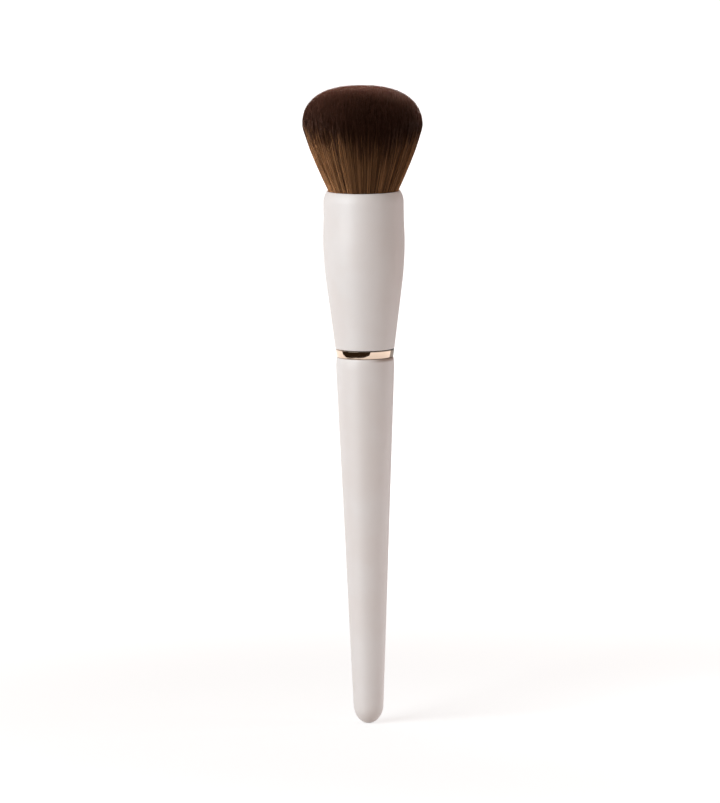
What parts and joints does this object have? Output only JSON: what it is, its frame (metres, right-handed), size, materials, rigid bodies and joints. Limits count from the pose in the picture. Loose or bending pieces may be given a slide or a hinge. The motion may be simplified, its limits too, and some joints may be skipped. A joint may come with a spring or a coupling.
{
  "type": "foundation brush",
  "caption": "Hand-held make-up brush with a domed, dark-tipped fibre tuft, a flared ferrule, a polished accent ring and a tapered round handle.",
  "frame": {"origin": "the tip of the handle's rounded end, on the brush's axis", "axes": "+Z runs along the brush's axis from the handle's end to the tuft; the brush is round, so X and Y are any two square directions"},
  "size_m": [0.0328, 0.0328, 0.1758],
  "materials": {
    "handle_lacquer": "turned wood under smooth satin ivory lacquer",
    "ferrule_enamel": "drawn aluminium with satin ivory enamel",
    "ring_metal": "polished champagne anodising",
    "resin": "cured clear amber resin",
    "thread": "waxed binding thread",
    "fibre": "tapered synthetic fibre, golden brown at the root and near black at the tip, with a soft sheen"
  },
  "bodies": {
    "root": {"handle": "handle_lacquer", "handle_glue": "resin", "accent_ring": "ring_metal", "ferrule": "ferrule_enamel", "root_resin": "resin", "binding_thread": "thread", "bristles_core": "fibre", "bristles_middle": "fibre", "bristles_outer": "fibre"}
  },
  "joints": []
}
